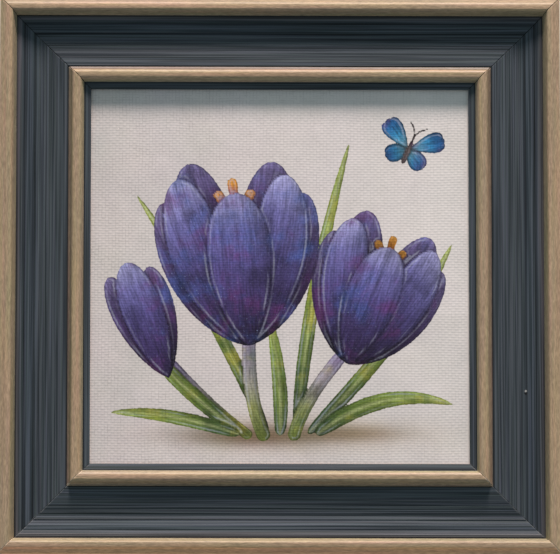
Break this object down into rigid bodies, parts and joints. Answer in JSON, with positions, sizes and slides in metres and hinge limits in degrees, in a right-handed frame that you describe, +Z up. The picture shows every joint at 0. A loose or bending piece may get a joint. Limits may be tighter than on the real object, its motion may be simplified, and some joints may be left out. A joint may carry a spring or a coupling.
{
  "type": "framed picture",
  "caption": "Small square picture on canvas in a mitred wooden frame with gilt beads and a slate panel, on a saw-tooth hanger.",
  "frame": {"origin": "on the wall nail: the middle notch of the saw-tooth hanger, in the plane of the wall", "axes": "+X right as the viewer sees the picture, +Y into the wall, +Z up; the painted face looks along -Y"},
  "size_m": [0.1368, 0.0171, 0.1368],
  "materials": {
    "painted_wood": "slate paint with gilt beads, bare wood at the back",
    "painted_canvas": "oil paint on primed cotton canvas",
    "fibreboard": "raw fibreboard",
    "liner_paper": "matt paper",
    "steel": "bare sheet steel",
    "brassed_steel": "brass-plated sheet",
    "rubber": "matt rubber"
  },
  "bodies": {
    "root": {"rail_top": "painted_wood", "rail_right": "painted_wood", "rail_bottom": "painted_wood", "rail_left": "painted_wood", "canvas": "painted_canvas", "board": "fibreboard", "liner": "liner_paper", "point_top_1": "steel", "point_top_2": "steel", "point_right_1": "steel", "point_right_2": "steel", "point_bottom_1": "steel", "point_bottom_2": "steel", "point_left_1": "steel", "point_left_2": "steel", "v_nail_top_1": "steel", "v_nail_top_2": "steel", "v_nail_right_1": "steel", "v_nail_right_2": "steel", "v_nail_bottom_1": "steel", "v_nail_bottom_2": "steel", "v_nail_left_1": "steel", "v_nail_left_2": "steel", "hanger": "brassed_steel", "tack_1": "brassed_steel", "tack_2": "brassed_steel", "bumper_1": "rubber", "bumper_2": "rubber"}
  },
  "joints": []
}
